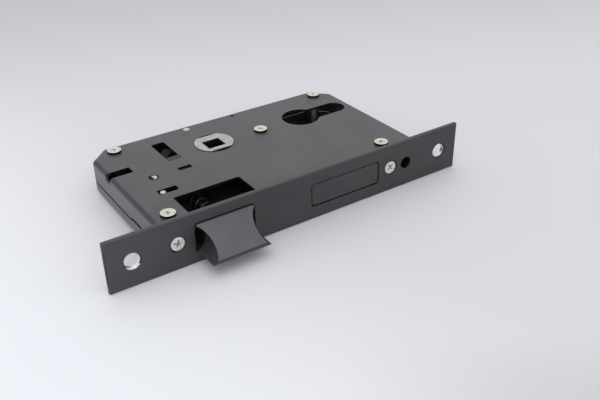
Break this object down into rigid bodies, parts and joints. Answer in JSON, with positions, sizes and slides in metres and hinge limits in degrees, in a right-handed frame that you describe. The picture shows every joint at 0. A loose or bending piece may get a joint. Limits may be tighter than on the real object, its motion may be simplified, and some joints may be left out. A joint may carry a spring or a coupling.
{
  "type": "mortise lock case",
  "caption": "Mortise lock case with forend, bevelled latch bolt, flush dead bolt, follower for a square spindle and a hole for a profile cylinder.",
  "frame": {"origin": "centre of the forend's front face, midway between the fixing screws", "axes": "+X along the forend towards the dead bolt's end, +Y into the case, +Z out of the cover"},
  "size_m": [0.168, 0.0888, 0.022],
  "materials": {
    "black_coat": "matt black coat on steel",
    "nickel_plate": "nickel plate",
    "zinc_casting": "plated zinc casting",
    "bright_steel": "bright zinc-plated steel"
  },
  "bodies": {
    "case": {"forend": "black_coat", "case_tray": "black_coat", "case_cover": "black_coat", "forend_screws": "nickel_plate", "cover_screws": "nickel_plate", "front_left_block": "bright_steel", "front_right_block": "bright_steel", "rear_left_pillar": "bright_steel", "rear_right_pillar": "bright_steel", "centre_pillar": "bright_steel", "latch_spring": "bright_steel", "latch_bracket": "bright_steel", "follower_stop": "nickel_plate", "return_lever_pivot": "nickel_plate", "return_spring": "bright_steel", "tumbler_pivot": "bright_steel", "tumbler_spring": "bright_steel"},
    "tail": {"tail_plate": "bright_steel"},
    "latch": {"latch_head": "black_coat", "latch_rod": "bright_steel", "rod_nut": "bright_steel"},
    "follower": {"follower": "zinc_casting"},
    "lever": {"return_lever": "bright_steel", "lever_pin": "nickel_plate"},
    "deadbolt": {"deadbolt_head": "black_coat", "deadbolt_tail": "bright_steel", "bolt_rivets": "bright_steel", "deadbolt_stump": "bright_steel"},
    "tumbler": {"tumbler": "bright_steel"}
  },
  "joints": [
    {"name": "follower_turn", "type": "hinge", "parent": "case", "child": "follower", "pos_m": [-0.0113, 0.053, 0], "axis": [0, 0, -1], "range_deg": [0, 41.5], "stiffness_Nm_per_rad": 0.5, "springref_deg": -28.65},
    {"name": "tail_slide", "type": "slide", "parent": "case", "child": "tail", "axis": [0, 1, 0], "range_m": [0, 0.011], "deforming": ["latch_spring"]},
    {"name": "lever_swing", "type": "hinge", "parent": "case", "child": "lever", "pos_m": [-0.0465, 0.0395, 0], "axis": [0, 0, 1], "range_deg": [0, 17], "deforming": ["return_spring"]},
    {"name": "latch_slide", "type": "slide", "parent": "tail", "child": "latch", "axis": [0, 1, 0], "range_m": [0, 0.011], "stiffness_N_per_m": 150, "springref_m": -0.02, "deforming": ["latch_spring"]},
    {"name": "deadbolt_throw", "type": "slide", "parent": "case", "child": "deadbolt", "axis": [0, -1, 0], "range_m": [0, 0.014]},
    {"name": "tumbler_drop", "type": "hinge", "parent": "case", "child": "tumbler", "pos_m": [0.0265, 0.0716, 0], "axis": [0, 0, 1], "range_deg": [0, 4.5], "stiffness_Nm_per_rad": 0.05, "springref_deg": 17.19, "deforming": ["tumbler_spring"]}
  ],
  "couplings": [
    {"joint": "tail_slide", "follows": "follower_turn", "m_per_rad": 0.015162},
    {"joint": "lever_swing", "follows": "follower_turn", "ratio": 0.40898}
  ]
}
